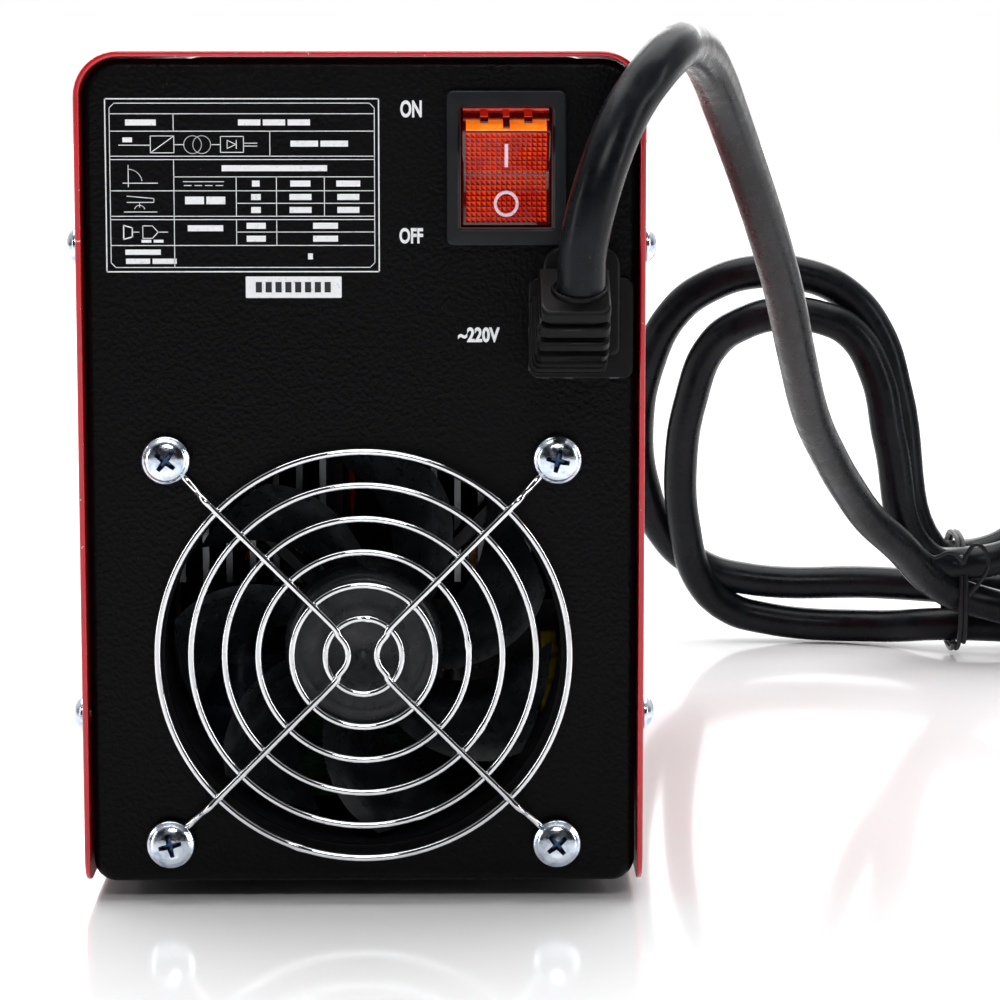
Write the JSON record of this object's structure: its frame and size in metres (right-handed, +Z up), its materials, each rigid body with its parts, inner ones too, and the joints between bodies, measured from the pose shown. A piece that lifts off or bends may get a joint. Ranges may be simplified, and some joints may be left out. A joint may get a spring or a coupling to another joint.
{
  "type": "stick welder",
  "caption": "Compact inverter stick welder: steel case, guarded rear fan, rocker power switch, angled cable boot, tied mains cord with plug, current knob and twist-lock output sockets.",
  "frame": {"origin": "centre of the case's bounding box at the bottom of its feet, counted without the cord, its hank, tie and plug", "axes": "+Z up, -Y out of the rear panel with the fan and power switch, +Y out of the front panel with the sockets, +X to the right when looking at the rear panel"},
  "size_m": [0.3333, 0.3606, 0.1874],
  "materials": {
    "red_paint": "gloss",
    "black_powder_coat": "textured satin",
    "black_plastic": "satin",
    "red_lens": "translucent gloss",
    "smoked_lens": "gloss",
    "green_lens": "gloss",
    "amber_lens": "gloss",
    "cord_rubber": "satin",
    "boot_rubber": "satin",
    "foot_rubber": "matte",
    "chrome_wire": "bright plated",
    "zinc_screw": "bright zinc",
    "brass": "satin",
    "copper": "satin",
    "aluminium": "extruded",
    "ferrite": "matte",
    "yellow_tape": "satin",
    "circuit_board": "satin",
    "capacitor_sleeve": "gloss",
    "red_wire": "satin"
  },
  "bodies": {
    "case": {"top_cover": "red_paint", "base_pan": "black_powder_coat", "rear_panel": "black_powder_coat", "front_panel": "black_powder_coat", "cover_screw_1": "zinc_screw", "cover_screw_2": "zinc_screw", "cover_screw_3": "zinc_screw", "cover_screw_4": "zinc_screw", "cover_screw_5": "zinc_screw", "cover_screw_6": "zinc_screw", "cover_screw_7": "zinc_screw", "cover_screw_8": "zinc_screw", "foot_1": "foot_rubber", "foot_2": "foot_rubber", "foot_3": "foot_rubber", "foot_4": "foot_rubber", "fan_frame": "black_plastic", "fan_guard": "chrome_wire", "guard_screw_1": "zinc_screw", "guard_screw_2": "zinc_screw", "guard_screw_3": "zinc_screw", "guard_screw_4": "zinc_screw", "switch_housing": "black_plastic", "strain_relief": "boot_rubber", "strain_relief_nut": "black_plastic", "mains_cable_lead": "cord_rubber", "mains_cable_hank": "cord_rubber", "cable_tie": "black_plastic", "plug_body": "boot_rubber", "plug_pin_1": "brass", "plug_pin_2": "brass", "potentiometer": "aluminium", "display_window": "smoked_lens", "led_power": "green_lens", "led_fault": "amber_lens", "socket_negative_housing": "black_plastic", "socket_negative_insert": "brass", "busbar_negative": "copper", "socket_positive_housing": "black_plastic", "socket_positive_insert": "brass", "busbar_positive": "copper", "power_board": "circuit_board", "control_board": "circuit_board", "board_standoff_1": "brass", "board_standoff_2": "brass", "board_standoff_3": "brass", "board_standoff_4": "brass", "heatsink_left": "aluminium", "heatsink_right": "aluminium", "transformer_core": "ferrite", "transformer_winding": "yellow_tape", "capacitor_1": "capacitor_sleeve", "capacitor_2": "capacitor_sleeve", "output_choke": "copper", "bridge_rectifier": "black_plastic", "fan_lead": "red_wire"},
    "rocker": {"switch_rocker": "red_lens"},
    "rotor": {"fan_rotor": "black_plastic"},
    "knob": {"current_knob": "black_plastic", "knob_shaft": "aluminium"}
  },
  "joints": [
    {"name": "power_rocker", "type": "hinge", "parent": "case", "child": "rocker", "pos_m": [0.0304, -0.112, 0.15675], "axis": [-1, 0, 0], "range_deg": [0, 28]},
    {"name": "fan_spin", "type": "hinge", "parent": "case", "child": "rotor", "pos_m": [0, -0.1, 0.0543], "axis": [0, 1, 0], "continuous": true},
    {"name": "current_turn", "type": "hinge", "parent": "case", "child": "knob", "pos_m": [0, 0.13, 0.098], "axis": [0, 1, 0], "range_deg": [-140, 140]}
  ]
}
